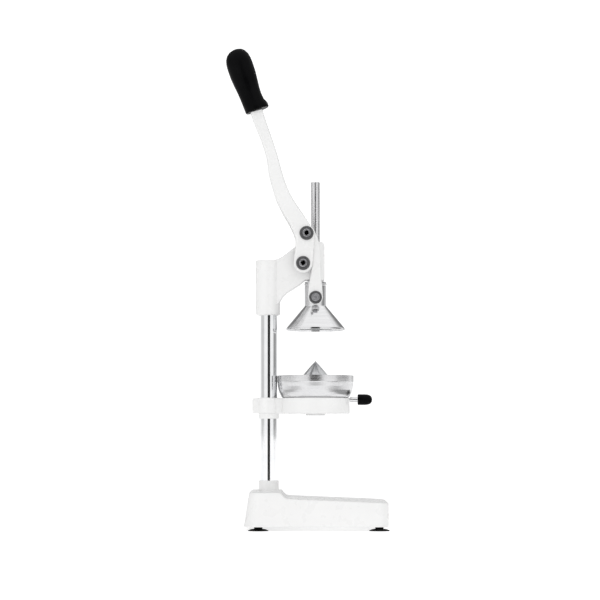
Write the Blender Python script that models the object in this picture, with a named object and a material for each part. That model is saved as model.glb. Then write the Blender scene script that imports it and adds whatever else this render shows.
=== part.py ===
"""Manual citrus press.

A hollow cast base on four suction feet carries a chrome column. The head casting on
top of the column holds the lever fulcrum and guides the press rod. Two curved links
join the forked lever to the neck of the press bell. A bracket on the column holds the
juice bowl, with the strainer and reamer in it and a tilting drip funnel below it.

Metres. +X points to the user, +Y to the left and +Z up from the table. Y = 0 is the
plane of symmetry of the frame, and the lever stands at its raised stop.
"""

import math

import bmesh
import bpy
from mathutils import Matrix, Vector

MM = 0.001
GAP = 0.3 * MM
SEAT_GAP = 0.1 * MM
OVERLAP = 2.0 * MM
MERGE_DISTANCE = 0.0001 * MM
SHARP_ANGLE = math.radians(35)
SIDES = (("right", -1), ("left", 1))

# Axes that the whole machine hangs on.
COLUMN_X = -55.6 * MM
PRESS_X = 14.0 * MM
FULCRUM = (-4.5 * MM, 393.5 * MM)
CRANK_PIN = (0.7 * MM, 438.3 * MM)
PRESS_PIN_Z = 343.0 * MM

# Column tube.
COLUMN_RADIUS = 12.5 * MM
COLUMN_WALL = 2.0 * MM
COLUMN_BOTTOM_Z = 18.3 * MM
COLUMN_TOP_Z = 391.5 * MM
COLUMN_BORE = COLUMN_RADIUS + GAP

# Base casting.
BASE_REAR_X = -90.8 * MM
BASE_FRONT_X = 120.3 * MM
BASE_HALF_WIDTH = 82.0 * MM
BASE_UNDERSIDE_Z = 6.0 * MM
BASE_CORNER_RADIUS = 22.0 * MM
BASE_WALL = 4.5 * MM
BASE_ROOF = 5.5 * MM
BASE_REAR_LEAN = 7.3 * MM
BASE_TOP_ROUNDING = 2.5 * MM
SHOULDER_Z = 56.0 * MM
SHOULDER_FRONT_X = -37.0 * MM
DECK_REAR_X = -25.0 * MM
DECK_REAR_Z = 47.2 * MM
DECK_FRONT_Z = 41.0 * MM
COLLAR_RADIUS = 15.0 * MM
COLLAR_TOP_Z = 71.4 * MM
COLUMN_BOSS_RADIUS = 19.0 * MM
COLUMN_BOSS_BOTTOM_Z = 14.0 * MM
COLUMN_BOLT_HOLE = 4.6 * MM

# Suction feet.
FOOT_REAR_X = -69.7 * MM
FOOT_FRONT_X = 106.2 * MM
FOOT_Y = 66.0 * MM
FOOT_RADIUS = 14.7 * MM
FOOT_NECK_RADIUS = 6.0 * MM
FOOT_SCREW_RADIUS = 2.2 * MM
FOOT_SCREW_TOP_Z = 22.0 * MM
FOOT_BOSS_RADIUS = 8.0 * MM
FOOT_BOSS_BOTTOM_Z = BASE_UNDERSIDE_Z - 0.5 * MM

# Head casting.
HEAD_BARREL_X = -57.2 * MM
HEAD_BARREL_RADIUS = 18.2 * MM
HEAD_BOTTOM_Z = 317.3 * MM
HEAD_TOP_Z = 399.6 * MM
HEAD_BORE_TOP_Z = 392.0 * MM
HEAD_ARM_HALF_WIDTH = 12.5 * MM
GUIDE_RADIUS = 13.7 * MM
GUIDE_BOTTOM_Z = 368.9 * MM
GUIDE_TOP_Z = 427.4 * MM
GUIDE_BORE = 8.8 * MM
BUSH_LENGTH = 17.0 * MM
SET_SCREW_RADIUS = 3.0 * MM

# Lever layers across the machine, each a distance from the plane of symmetry.
LINK_INNER_Y = 17.0 * MM
LINK_OUTER_Y = 21.8 * MM
CHEEK_INNER_Y = 22.3 * MM
CHEEK_OUTER_Y = 28.3 * MM
PIVOT_BOLT_RADIUS = 5.0 * MM
PIVOT_WASHER_RADIUS = 10.5 * MM
PIVOT_WASHER_THICKNESS = 1.5 * MM
PIVOT_HEAD_RADIUS = 6.0 * MM
PIVOT_HEAD_HEIGHT = 4.0 * MM
PIVOT_SOCKET_RADIUS = 2.8 * MM
PIVOT_SOCKET_DEPTH = 2.4 * MM
LINK_WASHER_RADIUS = 9.7 * MM
SPACER_RADIUS = 8.0 * MM
NUT_RADIUS = 9.0 * MM
NUT_HEIGHT = 6.0 * MM
BUSH_RADIUS = 5.0 * MM
BUSH_BORE = 3.4 * MM

# Centre line of the lever from the grip down to the fulcrum, as (x, z, half depth).
LEVER_LINE = (
    (-74.6 * MM, 624.6 * MM, 9.3 * MM),
    (-71.2 * MM, 613.4 * MM, 9.2 * MM),
    (-60.0 * MM, 583.5 * MM, 8.3 * MM),
    (-50.6 * MM, 553.6 * MM, 8.6 * MM),
    (-46.8 * MM, 533.0 * MM, 9.9 * MM),
    (-40.6 * MM, 511.7 * MM, 10.4 * MM),
    (-34.1 * MM, 493.8 * MM, 11.0 * MM),
    (-24.5 * MM, 475.8 * MM, 11.6 * MM),
    (-13.2 * MM, 457.9 * MM, 12.4 * MM),
    (-2.6 * MM, 436.0 * MM, 13.9 * MM),
    (-2.6 * MM, 414.2 * MM, 14.0 * MM),
    (FULCRUM[0], FULCRUM[1], 14.0 * MM),
)
# Half width of the lever across the machine against height, from the fork up.
LEVER_HALF_WIDTHS = (
    (450.0 * MM, CHEEK_OUTER_Y),
    (476.0 * MM, 26.5 * MM),
    (495.0 * MM, 23.0 * MM),
    (512.0 * MM, 19.0 * MM),
    (533.0 * MM, 14.5 * MM),
    (554.0 * MM, 11.5 * MM),
    (584.0 * MM, 9.8 * MM),
    (625.0 * MM, 9.3 * MM),
)
FORK_BOTTOM_Z = 360.0 * MM
FORK_TOP_Z = 522.0 * MM
TANG_RADIUS = 5.0 * MM
TANG_LENGTH = 72.0 * MM
TANG_ROOT = 8.0 * MM

# Grip, with its axis leaning back with the lever top.
GRIP_FOOT = (-74.0 * MM, 626.1 * MM)
GRIP_LEAN = math.radians(19.4)
GRIP_DIRECTION = (-math.sin(GRIP_LEAN), 0.0, math.cos(GRIP_LEAN))
# Grip sections as (distance from its foot, depth to the front, depth to the rear).
GRIP_SECTIONS = (
    (0.0 * MM, 18.2 * MM, 16.4 * MM),
    (1.2 * MM, 19.2 * MM, 17.2 * MM),
    (6.0 * MM, 19.2 * MM, 17.4 * MM),
    (9.5 * MM, 18.0 * MM, 17.5 * MM),
    (14.0 * MM, 15.9 * MM, 17.6 * MM),
    (23.0 * MM, 15.0 * MM, 18.0 * MM),
    (33.0 * MM, 15.4 * MM, 18.7 * MM),
    (46.0 * MM, 16.8 * MM, 20.2 * MM),
    (58.0 * MM, 18.0 * MM, 21.2 * MM),
    (71.0 * MM, 18.3 * MM, 21.3 * MM),
    (80.0 * MM, 17.9 * MM, 20.6 * MM),
    (87.0 * MM, 16.4 * MM, 18.8 * MM),
    (92.5 * MM, 13.6 * MM, 15.4 * MM),
    (96.2 * MM, 9.4 * MM, 10.6 * MM),
    (98.0 * MM, 4.4 * MM, 5.0 * MM),
)
GRIP_FLATNESS = 0.86

# Centre line of a link from the crank pin down to the press pin, as (x, z, half depth).
LINK_LINE = (
    (CRANK_PIN[0], CRANK_PIN[1], 12.3 * MM),
    (9.2 * MM, 424.5 * MM, 9.8 * MM),
    (14.0 * MM, 409.0 * MM, 7.4 * MM),
    (15.1 * MM, 393.5 * MM, 6.4 * MM),
    (14.6 * MM, 376.0 * MM, 7.6 * MM),
    (13.9 * MM, 360.0 * MM, 9.8 * MM),
    (PRESS_X, PRESS_PIN_Z, 11.0 * MM),
)

# Press bell and its rod.
ROD_RADIUS = 6.8 * MM
ROD_TOP_Z = 517.4 * MM
ROD_BOTTOM_Z = 333.0 * MM
NECK_RADIUS = 16.2 * MM
NECK_TOP_Z = 367.4 * MM
NECK_BEAD_Z = 362.0 * MM
BELL_LIP_RADIUS = 43.7 * MM
BELL_LIP_Z = 294.9 * MM
BELL_BAND_TOP_Z = 298.2 * MM
BELL_CONE_TOP_Z = 331.0 * MM
BELL_WALL = 1.6 * MM
PRESS_PIN_RADIUS = 4.0 * MM

# Bowl bracket.
RING_RADIUS = 51.0 * MM
RING_WALL = 4.0 * MM
RING_TOP_Z = 194.0 * MM
RING_BOTTOM_Z = 170.3 * MM
RING_FLOOR = 5.3 * MM
SPOUT_HOLE_RADIUS = 19.0 * MM
BRACKET_COLLAR_RADIUS = 17.0 * MM
BRACKET_LIP_RADIUS = 15.3 * MM
BRACKET_LIP_BOTTOM_Z = 163.0 * MM
BRACKET_BOSS_REAR_X = -80.1 * MM
BRACKET_BOSS_HALF_WIDTH = 9.0 * MM

# Juice bowl, strainer and reamer.
BOWL_RIM_Z = 227.2 * MM
BOWL_RIM_RADIUS = 56.8 * MM
BOWL_WALL = 1.3 * MM
BOWL_DRAIN_RADIUS = 9.0 * MM
STRAINER_RADIUS = 54.4 * MM
STRAINER_Z = 214.5 * MM
STRAINER_FLOOR_Z = 205.5 * MM
STRAINER_WALL = 1.2 * MM
REAMER_BASE_RADIUS = 30.0 * MM
REAMER_TIP_Z = 249.0 * MM
REAMER_RIBS = 10

# Drip funnel and its handle.
FUNNEL_RADIUS = 41.0 * MM
FUNNEL_RIM_Z = 187.3 * MM
FUNNEL_PIVOT_Z = 183.0 * MM
FUNNEL_TILT = math.radians(8.0)
SPOUT_RADIUS = 14.6 * MM
SPOUT_BOTTOM_Z = 167.9 * MM
FUNNEL_PIN_RADIUS = 2.0 * MM
FUNNEL_PIN_END = RING_RADIUS - 1.5 * MM
FUNNEL_TAB_FRONT_X = PRESS_X + FUNNEL_RADIUS + 3.6 * MM
HANDLE_Z = 191.5 * MM
STEM_RADIUS = 4.0 * MM
STEM_TAIL_RADIUS = 2.4 * MM
KNOB_REAR_X = 76.9 * MM
KNOB_FRONT_X = 98.6 * MM
KNOB_RADIUS = 8.0 * MM
KNOB_SOCKET_DEPTH = 10.0 * MM


def clear_scene():
    for obj in list(bpy.data.objects):
        bpy.data.objects.remove(obj, do_unlink=True)


def make_material(name, colour, roughness, metallic):
    paint = bpy.data.materials.new(name)
    paint.use_nodes = True
    shader = paint.node_tree.nodes["Principled BSDF"]
    shader.inputs["Base Color"].default_value = (*colour, 1.0)
    shader.inputs["Roughness"].default_value = roughness
    shader.inputs["Metallic"].default_value = metallic
    paint.diffuse_color = (*colour, 1.0)
    return paint


def make_materials():
    return {
        "white_enamel": make_material("white_enamel", (0.86, 0.86, 0.85), 0.32, 0.0),
        "chrome": make_material("chrome", (0.80, 0.81, 0.82), 0.08, 1.0),
        "polished_steel": make_material("polished_steel", (0.74, 0.74, 0.75), 0.18, 1.0),
        "satin_steel": make_material("satin_steel", (0.60, 0.60, 0.61), 0.32, 1.0),
        "zinc_steel": make_material("zinc_steel", (0.42, 0.42, 0.44), 0.40, 1.0),
        "dark_steel": make_material("dark_steel", (0.10, 0.10, 0.11), 0.42, 1.0),
        "cast_aluminium": make_material("cast_aluminium", (0.66, 0.67, 0.68), 0.34, 1.0),
        "bronze": make_material("bronze", (0.55, 0.38, 0.18), 0.38, 1.0),
        "black_plastic": make_material("black_plastic", (0.012, 0.012, 0.013), 0.35, 0.0),
        "black_rubber": make_material("black_rubber", (0.015, 0.015, 0.015), 0.80, 0.0),
    }


def new_object(name, shape, paint=None):
    """Object from a bmesh: faces outwards, and smooth except across edges over 35 degrees."""
    bmesh.ops.recalc_face_normals(shape, faces=shape.faces)
    mesh = bpy.data.meshes.new(name)
    shape.to_mesh(mesh)
    shape.free()
    mesh.shade_smooth()
    mesh.set_sharp_from_angle(angle=SHARP_ANGLE)
    if paint:
        mesh.materials.append(paint)
    obj = bpy.data.objects.new(name, mesh)
    bpy.context.scene.collection.objects.link(obj)
    return obj


def stand(obj, place, direction=(0.0, 0.0, 1.0)):
    """Puts the origin of an object at a place, with its own Z axis along the direction."""
    obj.location = place
    obj.rotation_euler = Vector(direction).to_track_quat("Z", "Y").to_euler()
    return obj


def move_origin(obj, origin):
    """Moves the origin of an object without moving its shape."""
    obj.data.transform(Matrix.Translation(-Vector(origin)))
    obj.location = origin
    return obj


def close_flat_ends(shape):
    """Turns each flat fan of faces round the Z axis into one face."""
    for tip in [corner for corner in shape.verts if corner.co.xy.length < MERGE_DISTANCE]:
        rises = [abs(edge.other_vert(tip).co.z - tip.co.z) for edge in tip.link_edges]
        if max(rises) < MERGE_DISTANCE:
            bmesh.ops.dissolve_verts(shape, verts=[tip])


def revolve(name, profile, paint=None, place=(0.0, 0.0, 0.0), direction=(0.0, 0.0, 1.0), segments=32):
    """Spins a closed loop of (radius, height) about the direction through the place."""
    shape = bmesh.new()
    loop = [shape.verts.new((radius, 0.0, height)) for radius, height in profile]
    for start, end in zip(loop, loop[1:] + loop[:1]):
        if start.co.x > 0 or end.co.x > 0:
            shape.edges.new((start, end))
    bmesh.ops.spin(
        shape,
        geom=[*shape.verts, *shape.edges],
        cent=(0.0, 0.0, 0.0),
        axis=(0.0, 0.0, 1.0),
        dvec=(0.0, 0.0, 0.0),
        angle=2 * math.pi,
        steps=segments,
        use_merge=True,
    )
    bmesh.ops.remove_doubles(shape, verts=shape.verts, dist=MERGE_DISTANCE)
    close_flat_ends(shape)
    return stand(new_object(name, shape, paint), place, direction)


def cylinder(name, radius, low, high, paint=None, centre=(0.0, 0.0), axis="Z", segments=32):
    """A cylinder along X, Y or Z. The centre gives the other two coordinates in order."""
    shape = bmesh.new()
    bmesh.ops.create_cone(
        shape, cap_ends=True, segments=segments, radius1=radius, radius2=radius, depth=high - low
    )
    place = list(centre)
    place.insert("XYZ".index(axis), 0.5 * (low + high))
    direction = [float(letter == axis) for letter in "XYZ"]
    return stand(new_object(name, shape, paint), place, direction)


def box(name, x_range, y_range, z_range, paint=None):
    ranges = (x_range, y_range, z_range)
    shape = bmesh.new()
    bmesh.ops.create_cube(shape, size=1.0)
    bmesh.ops.scale(shape, vec=[high - low for low, high in ranges], verts=shape.verts)
    return stand(new_object(name, shape, paint), [0.5 * (low + high) for low, high in ranges])


def prism(name, outline, low, high, axis, paint=None):
    """Extrudes a flat outline along X, Y or Z. The outline holds the other two coordinates."""
    index = "XYZ".index(axis)
    shape = bmesh.new()
    loop = []
    for pair in outline:
        corner = list(pair)
        corner.insert(index, low)
        loop.append(shape.verts.new(corner))
    extruded = bmesh.ops.extrude_face_region(shape, geom=[shape.faces.new(loop)])
    far_side = [item for item in extruded["geom"] if isinstance(item, bmesh.types.BMVert)]
    travel = [0.0, 0.0, 0.0]
    travel[index] = high - low
    bmesh.ops.translate(shape, vec=travel, verts=far_side)
    return new_object(name, shape, paint)


def add_ring(shape, points):
    """Adds a closed ring of edges, and gives its corners and its edges."""
    corners = [shape.verts.new(point) for point in points]
    edges = [shape.edges.new(pair) for pair in zip(corners, corners[1:] + corners[:1])]
    return corners, edges


def loft(name, rings, paint=None):
    """Bridges rings of equal length in turn, with a flat cap at each end."""
    shape = bmesh.new()
    made = [add_ring(shape, ring) for ring in rings]
    for (_, lower), (_, upper) in zip(made, made[1:]):
        bmesh.ops.bridge_loops(shape, edges=lower + upper)
    for corners, _ in (made[0], made[-1]):
        shape.faces.new(corners)
    return new_object(name, shape, paint)


def bevel(obj, width, segments=2):
    """Rounds every edge sharper than 40 degrees."""
    rounding = obj.modifiers.new("rounding", "BEVEL")
    rounding.width = width
    rounding.segments = segments
    rounding.limit_method = "ANGLE"
    rounding.angle_limit = math.radians(40)


def carry(parent, child):
    """Makes the child move with its parent, and leaves it where it stands."""
    child.parent = parent
    child.matrix_parent_inverse = parent.matrix_basis.inverted()


def combine(obj, tool, operation):
    """Boolean with a hidden tool, which then moves with the object."""
    tool.hide_render = True
    tool.display_type = "WIRE"
    carry(obj, tool)
    step = obj.modifiers.new(tool.name, "BOOLEAN")
    step.operation = operation
    step.solver = "EXACT"
    step.object = tool


def cut(obj, tool):
    combine(obj, tool, "DIFFERENCE")


def join(obj, tool):
    combine(obj, tool, "UNION")


def interpolate(table, at):
    """Straight-line value of a rising (position, value) table, held flat beyond its ends."""
    if at <= table[0][0]:
        return table[0][1]
    for (low, first), (high, second) in zip(table, table[1:]):
        if at <= high:
            return first + (second - first) * (at - low) / (high - low)
    return table[-1][1]


def smooth_line(stations, steps):
    """Catmull-Rom points through the stations, with every column eased alike."""
    line = [stations[0], *stations, stations[-1]]
    found = []
    for before, start, end, after in zip(line, line[1:], line[2:], line[3:]):
        for step in range(steps):
            t = step / steps
            values = []
            for a, b, c, d in zip(before, start, end, after):
                slope = c - a + t * (2 * a - 5 * b + 4 * c - d + t * (3 * b - a - 3 * c + d))
                values.append(b + 0.5 * t * slope)
            found.append(tuple(values))
    found.append(tuple(stations[-1]))
    return found


def directions(line):
    """Unit direction of travel at each point of a line of (x, z, ...)."""
    found = []
    for index in range(len(line)):
        before = line[max(index - 1, 0)]
        after = line[min(index + 1, len(line) - 1)]
        found.append(Vector((after[0] - before[0], after[1] - before[1])).normalized())
    return found


def ribbon(line, cap_steps=6):
    """Outline in X and Z of a band of varying width with round ends."""
    headings = directions(line)
    left = []
    right = []
    for (x, z, half), heading in zip(line, headings):
        left.append((x - heading.y * half, z + heading.x * half))
        right.append((x + heading.y * half, z - heading.x * half))
    caps = []
    for (x, z, half), heading, sign in ((line[-1], headings[-1], 1), (line[0], headings[0], -1)):
        side = Vector((-heading.y, heading.x)) * sign
        ahead = heading * sign
        cap = []
        for step in range(1, cap_steps):
            angle = math.pi * step / cap_steps
            offset = (side * math.cos(angle) + ahead * math.sin(angle)) * half
            cap.append((x + offset.x, z + offset.y))
        caps.append(cap)
    return left + caps[0] + right[::-1] + caps[1]


def deck_height(x):
    """Top of the base: a level shoulder, a hollow curve, then a deck that falls to the front."""
    if x <= SHOULDER_FRONT_X:
        return SHOULDER_Z
    if x < DECK_REAR_X:
        t = (x - SHOULDER_FRONT_X) / (DECK_REAR_X - SHOULDER_FRONT_X)
        return DECK_REAR_Z + (SHOULDER_Z - DECK_REAR_Z) * (1 - t) ** 2.2
    t = (x - DECK_REAR_X) / (BASE_FRONT_X - DECK_REAR_X)
    return DECK_REAR_Z + (DECK_FRONT_Z - DECK_REAR_Z) * t


def base_stations(inset, lean):
    """Pairs of (x, half width) from rear to front, round at the four corners."""
    rear = BASE_REAR_X + inset + lean
    front = BASE_FRONT_X - inset
    half = BASE_HALF_WIDTH - inset
    radius = BASE_CORNER_RADIUS - inset
    corner = [math.pi / 2 * step / 5 for step in range(6)]
    stations = []
    for angle in corner:
        stations.append((rear + radius * (1 - math.cos(angle)), half - radius * (1 - math.sin(angle))))
    for step in range(5):
        stations.append((SHOULDER_FRONT_X + (DECK_REAR_X - SHOULDER_FRONT_X) * step / 4, half))
    for angle in reversed(corner):
        stations.append((front - radius * (1 - math.cos(angle)), half - radius * (1 - math.sin(angle))))
    return stations


def base_ring(inset, lean, drop=None, level=None):
    """One ring round the base, at a level or at a drop below the top surface."""
    stations = base_stations(inset, lean)
    ring = []
    for side, run in ((1, stations), (-1, stations[::-1])):
        for x, half in run:
            z = level if drop is None else deck_height(x) - drop
            ring.append((x, side * half, z))
    return ring


def make_base_shell(paint):
    """Inner skin, flat rim and outer skin in one run of rings, closed across both tops."""
    rounding = BASE_TOP_ROUNDING
    rings = [
        base_ring(BASE_WALL, BASE_REAR_LEAN * 0.8, drop=BASE_ROOF),
        base_ring(BASE_WALL, 0.0, level=BASE_UNDERSIDE_Z),
        base_ring(0.0, 0.0, level=BASE_UNDERSIDE_Z),
        base_ring(0.0, BASE_REAR_LEAN, drop=rounding),
        base_ring(0.3 * rounding, BASE_REAR_LEAN, drop=0.3 * rounding),
        base_ring(rounding, BASE_REAR_LEAN, drop=0.0),
    ]
    shape = bmesh.new()
    made = [add_ring(shape, ring) for ring in rings]
    for (_, lower), (_, upper) in zip(made, made[1:]):
        bmesh.ops.bridge_loops(shape, edges=lower + upper)
    half_count = len(rings[0]) // 2
    for _, edges in (made[0], made[-1]):
        left = edges[: half_count - 1]
        right = edges[half_count:-1]
        bmesh.ops.bridge_loops(shape, edges=left + right)
    return new_object("base_casting", shape, paint)


def foot_places():
    for end, x in (("front", FOOT_FRONT_X), ("rear", FOOT_REAR_X)):
        for side, y in (("left", FOOT_Y), ("right", -FOOT_Y)):
            yield f"{end}_{side}", x, y


def make_base(paints):
    base = make_base_shell(paints["white_enamel"])
    on_column = (COLUMN_X, 0.0)
    boss_top = SHOULDER_Z - BASE_ROOF + OVERLAP
    boss = cylinder("base_column_boss", COLUMN_BOSS_RADIUS, COLUMN_BOSS_BOTTOM_Z, boss_top, None, on_column)
    join(base, boss)
    collar = [
        (0, SHOULDER_Z - 3 * MM),
        (COLLAR_RADIUS, SHOULDER_Z - 3 * MM),
        (COLLAR_RADIUS, COLLAR_TOP_Z - 1.5 * MM),
        (COLLAR_RADIUS - 0.5 * MM, COLLAR_TOP_Z - 0.4 * MM),
        (COLLAR_RADIUS - 1.5 * MM, COLLAR_TOP_Z),
        (0, COLLAR_TOP_Z),
    ]
    join(base, revolve("base_collar", collar, place=(COLUMN_X, 0.0, 0.0)))
    for name, x, y in foot_places():
        boss_z = (FOOT_BOSS_BOTTOM_Z, deck_height(x) - BASE_ROOF + OVERLAP)
        join(base, cylinder(f"base_boss_{name}", FOOT_BOSS_RADIUS, *boss_z, None, (x, y), segments=16))
    bore_top = COLLAR_TOP_Z + 10 * MM
    cut(base, cylinder("base_column_bore", COLUMN_BORE, COLUMN_BOTTOM_Z - GAP, bore_top, None, on_column))
    cut(base, cylinder("base_bolt_hole", COLUMN_BOLT_HOLE, 0.0, 30 * MM, None, on_column, segments=20))
    for name, x, y in foot_places():
        hole = FOOT_SCREW_RADIUS + GAP
        hole_top = FOOT_SCREW_TOP_Z + 2 * MM
        cut(base, cylinder(f"base_hole_{name}", hole, 0.0, hole_top, None, (x, y), segments=12))


def make_feet(paints):
    """Rubber cups with a flat sealing rim, each held by a screw from below."""
    top = FOOT_BOSS_BOTTOM_Z - GAP
    hole = FOOT_SCREW_RADIUS + GAP
    recess_z = 3.3 * MM
    head_radius = 4.0 * MM
    cup = [
        (12.2 * MM, 0.0),
        (FOOT_RADIUS, 0.0),
        (FOOT_RADIUS, 1.0 * MM),
        (10.8 * MM, 2.4 * MM),
        (FOOT_NECK_RADIUS, 3.2 * MM),
        (FOOT_NECK_RADIUS, top),
        (hole, top),
        (hole, recess_z),
        (head_radius + 0.6 * MM, recess_z),
        (head_radius + 0.6 * MM, 1.1 * MM),
        (8.0 * MM, 1.0 * MM),
    ]
    head_top_z = recess_z - GAP
    screw = [
        (0, 1.2 * MM),
        (head_radius, 1.2 * MM),
        (head_radius, head_top_z),
        (FOOT_SCREW_RADIUS, head_top_z),
        (FOOT_SCREW_RADIUS, FOOT_SCREW_TOP_Z - 1 * MM),
        (0, FOOT_SCREW_TOP_Z),
    ]
    for name, x, y in foot_places():
        revolve(f"foot_{name}", cup, paints["black_rubber"], (x, y, 0.0), segments=20)
        revolve(f"foot_screw_{name}", screw, paints["zinc_steel"], (x, y, 0.0), segments=12)


def ring_profile(inner, outer, low, high):
    """Square-edged ring between two radii and two heights."""
    return [(inner, low), (outer, low), (outer, high), (inner, high)]


def make_column(paints):
    inner = COLUMN_RADIUS - COLUMN_WALL
    place = (COLUMN_X, 0.0, 0.0)
    tube = ring_profile(inner, COLUMN_RADIUS, COLUMN_BOTTOM_Z, COLUMN_TOP_Z)
    revolve("column_tube", tube, paints["chrome"], place)
    thread_radius = 4.2 * MM
    thread_top_z = 36 * MM
    plug = [
        (thread_radius + GAP, COLUMN_BOTTOM_Z),
        (inner - GAP, COLUMN_BOTTOM_Z),
        (inner - GAP, thread_top_z + 8 * MM),
        (0, thread_top_z + 8 * MM),
        (0, thread_top_z + 2 * MM),
        (thread_radius + GAP, thread_top_z + 2 * MM),
    ]
    revolve("column_plug", plug, paints["zinc_steel"], place, segments=24)
    washer_top = COLUMN_BOSS_BOTTOM_Z - GAP
    washer_bottom = washer_top - 1.5 * MM
    washer = ring_profile(COLUMN_BOLT_HOLE, 10.0 * MM, washer_bottom, washer_top)
    revolve("column_washer", washer, paints["zinc_steel"], place, segments=24)
    head_top = washer_bottom - SEAT_GAP
    bolt = [
        (0, head_top - 6 * MM),
        (7.0 * MM, head_top - 6 * MM),
        (8.0 * MM, head_top - 5 * MM),
        (8.0 * MM, head_top),
        (thread_radius, head_top),
        (thread_radius, thread_top_z),
        (0, thread_top_z),
    ]
    revolve("column_bolt", bolt, paints["zinc_steel"], place, segments=18)


def head_arm_outline():
    """Side outline of the arm between the column barrel and the rod guide."""
    return [
        (-57.0 * MM, 398.0 * MM),
        (-50.0 * MM, 399.2 * MM),
        (-42.0 * MM, 401.2 * MM),
        (-34.5 * MM, 405.2 * MM),
        (-27.6 * MM, 410.6 * MM),
        (-19.6 * MM, 417.0 * MM),
        (-12.0 * MM, 422.8 * MM),
        (-4.0 * MM, 425.6 * MM),
        (PRESS_X, 425.8 * MM),
        (PRESS_X, 370.4 * MM),
        (-1.0 * MM, 369.6 * MM),
        (-9.6 * MM, 362.9 * MM),
        (-18.3 * MM, 356.9 * MM),
        (-27.0 * MM, 351.8 * MM),
        (-34.0 * MM, 345.2 * MM),
        (-39.0 * MM, 337.6 * MM),
        (-42.0 * MM, 333.0 * MM),
        (-57.0 * MM, 333.0 * MM),
    ]


def make_head(paints):
    half = HEAD_ARM_HALF_WIDTH
    head = prism("head_casting", head_arm_outline(), -half, half, "Y", paints["white_enamel"])
    move_origin(head, (HEAD_BARREL_X, 0.0, HEAD_BOTTOM_Z))
    bevel(head, 2.2 * MM)
    edge = 1.4 * MM
    barrel = [
        (0, HEAD_BOTTOM_Z),
        (HEAD_BARREL_RADIUS - edge, HEAD_BOTTOM_Z),
        (HEAD_BARREL_RADIUS, HEAD_BOTTOM_Z + edge),
        (HEAD_BARREL_RADIUS, HEAD_TOP_Z - edge),
        (HEAD_BARREL_RADIUS - 0.5 * edge, HEAD_TOP_Z - 0.3 * edge),
        (HEAD_BARREL_RADIUS - 1.6 * edge, HEAD_TOP_Z),
        (0, HEAD_TOP_Z),
    ]
    join(head, revolve("head_barrel", barrel, place=(HEAD_BARREL_X, 0.0, 0.0)))
    guide = [
        (0, GUIDE_BOTTOM_Z),
        (GUIDE_RADIUS - 1 * MM, GUIDE_BOTTOM_Z),
        (GUIDE_RADIUS, GUIDE_BOTTOM_Z + 1 * MM),
        (GUIDE_RADIUS, GUIDE_TOP_Z - 6.0 * MM),
        (GUIDE_RADIUS - 0.8 * MM, GUIDE_TOP_Z - 2.6 * MM),
        (GUIDE_RADIUS - 2.6 * MM, GUIDE_TOP_Z - 0.6 * MM),
        (GUIDE_RADIUS - 4.2 * MM, GUIDE_TOP_Z),
        (0, GUIDE_TOP_Z),
    ]
    join(head, revolve("head_guide", guide, place=(PRESS_X, 0.0, 0.0), segments=28))
    low = HEAD_BOTTOM_Z - 20 * MM
    high = GUIDE_TOP_Z + 10 * MM
    cut(head, cylinder("head_column_bore", COLUMN_BORE, low, HEAD_BORE_TOP_Z, None, (COLUMN_X, 0.0)))
    cut(head, cylinder("head_guide_bore", GUIDE_BORE, low, high, None, (PRESS_X, 0.0), segments=28))
    hole = PIVOT_BOLT_RADIUS + GAP
    cut(head, cylinder("head_fulcrum_hole", hole, -2 * half, 2 * half, None, FULCRUM, "Y", 24))
    screw_z = 0.5 * (HEAD_BOTTOM_Z + HEAD_TOP_Z)
    rear_x = HEAD_BARREL_X - HEAD_BARREL_RADIUS
    cut_screw_hole(head, rear_x, screw_z)
    make_set_screw("head_set_screw", rear_x + 0.8 * MM, screw_z, paints)


def cut_screw_hole(obj, rear_x, z):
    """Round hole along X from behind an object to the column bore."""
    name = f"{obj.name}_screw_hole"
    front_x = COLUMN_X - COLUMN_RADIUS + OVERLAP
    hole = SET_SCREW_RADIUS + GAP
    cut(obj, cylinder(name, hole, rear_x - 10 * MM, front_x, None, (0.0, z), "X", 16))


def make_set_screw(name, rear_x, z, paints):
    """Grub screw along X, with its point close to the back of the column."""
    length = COLUMN_X - COLUMN_RADIUS - GAP - rear_x
    profile = [(0, 0.0), (SET_SCREW_RADIUS, 0.0), (SET_SCREW_RADIUS, length - 1 * MM), (0, length)]
    revolve(name, profile, paints["dark_steel"], (rear_x, 0.0, z), (1.0, 0.0, 0.0), 16)


def make_bushes(paints):
    lower = GUIDE_BOTTOM_Z + 1 * MM
    upper = GUIDE_TOP_Z - 1 * MM - BUSH_LENGTH
    profile = ring_profile(ROD_RADIUS + GAP, GUIDE_BORE - GAP, 0.0, BUSH_LENGTH)
    for name, bottom in (("lower", lower), ("upper", upper)):
        revolve(f"guide_bush_{name}", profile, paints["bronze"], (PRESS_X, 0.0, bottom), segments=28)


def lever_section(x, z, half, heading):
    """Rounded rectangle across the lever, at right angles to its centre line."""
    width = interpolate(LEVER_HALF_WIDTHS, z)
    radius = min(3.6 * MM, 0.45 * half)
    ring = []
    for quarter in range(4):
        middle = math.pi / 2 * (quarter + 0.5)
        for step in range(3):
            angle = math.pi / 2 * (quarter + step / 2)
            across = math.copysign(half - radius, math.cos(middle)) + radius * math.cos(angle)
            aside = math.copysign(width - radius, math.sin(middle)) + radius * math.sin(angle)
            ring.append((x - heading.y * across, aside, z + heading.x * across))
    return ring


def lever_rings():
    """Sections down the centre line, then shrinking ones that round off the fulcrum end."""
    line = smooth_line(LEVER_LINE, 2)
    headings = directions(line)
    rings = [lever_section(*station, heading) for station, heading in zip(line, headings)]
    x, z, half = line[-1]
    for angle in (0.3, 0.6, 0.88, 1.14, 1.38):
        reach = half * math.sin(angle)
        end_x = x + headings[-1].x * reach
        end_z = z + headings[-1].y * reach
        rings.append(lever_section(end_x, end_z, half * math.cos(angle), headings[-1]))
    return rings


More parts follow.
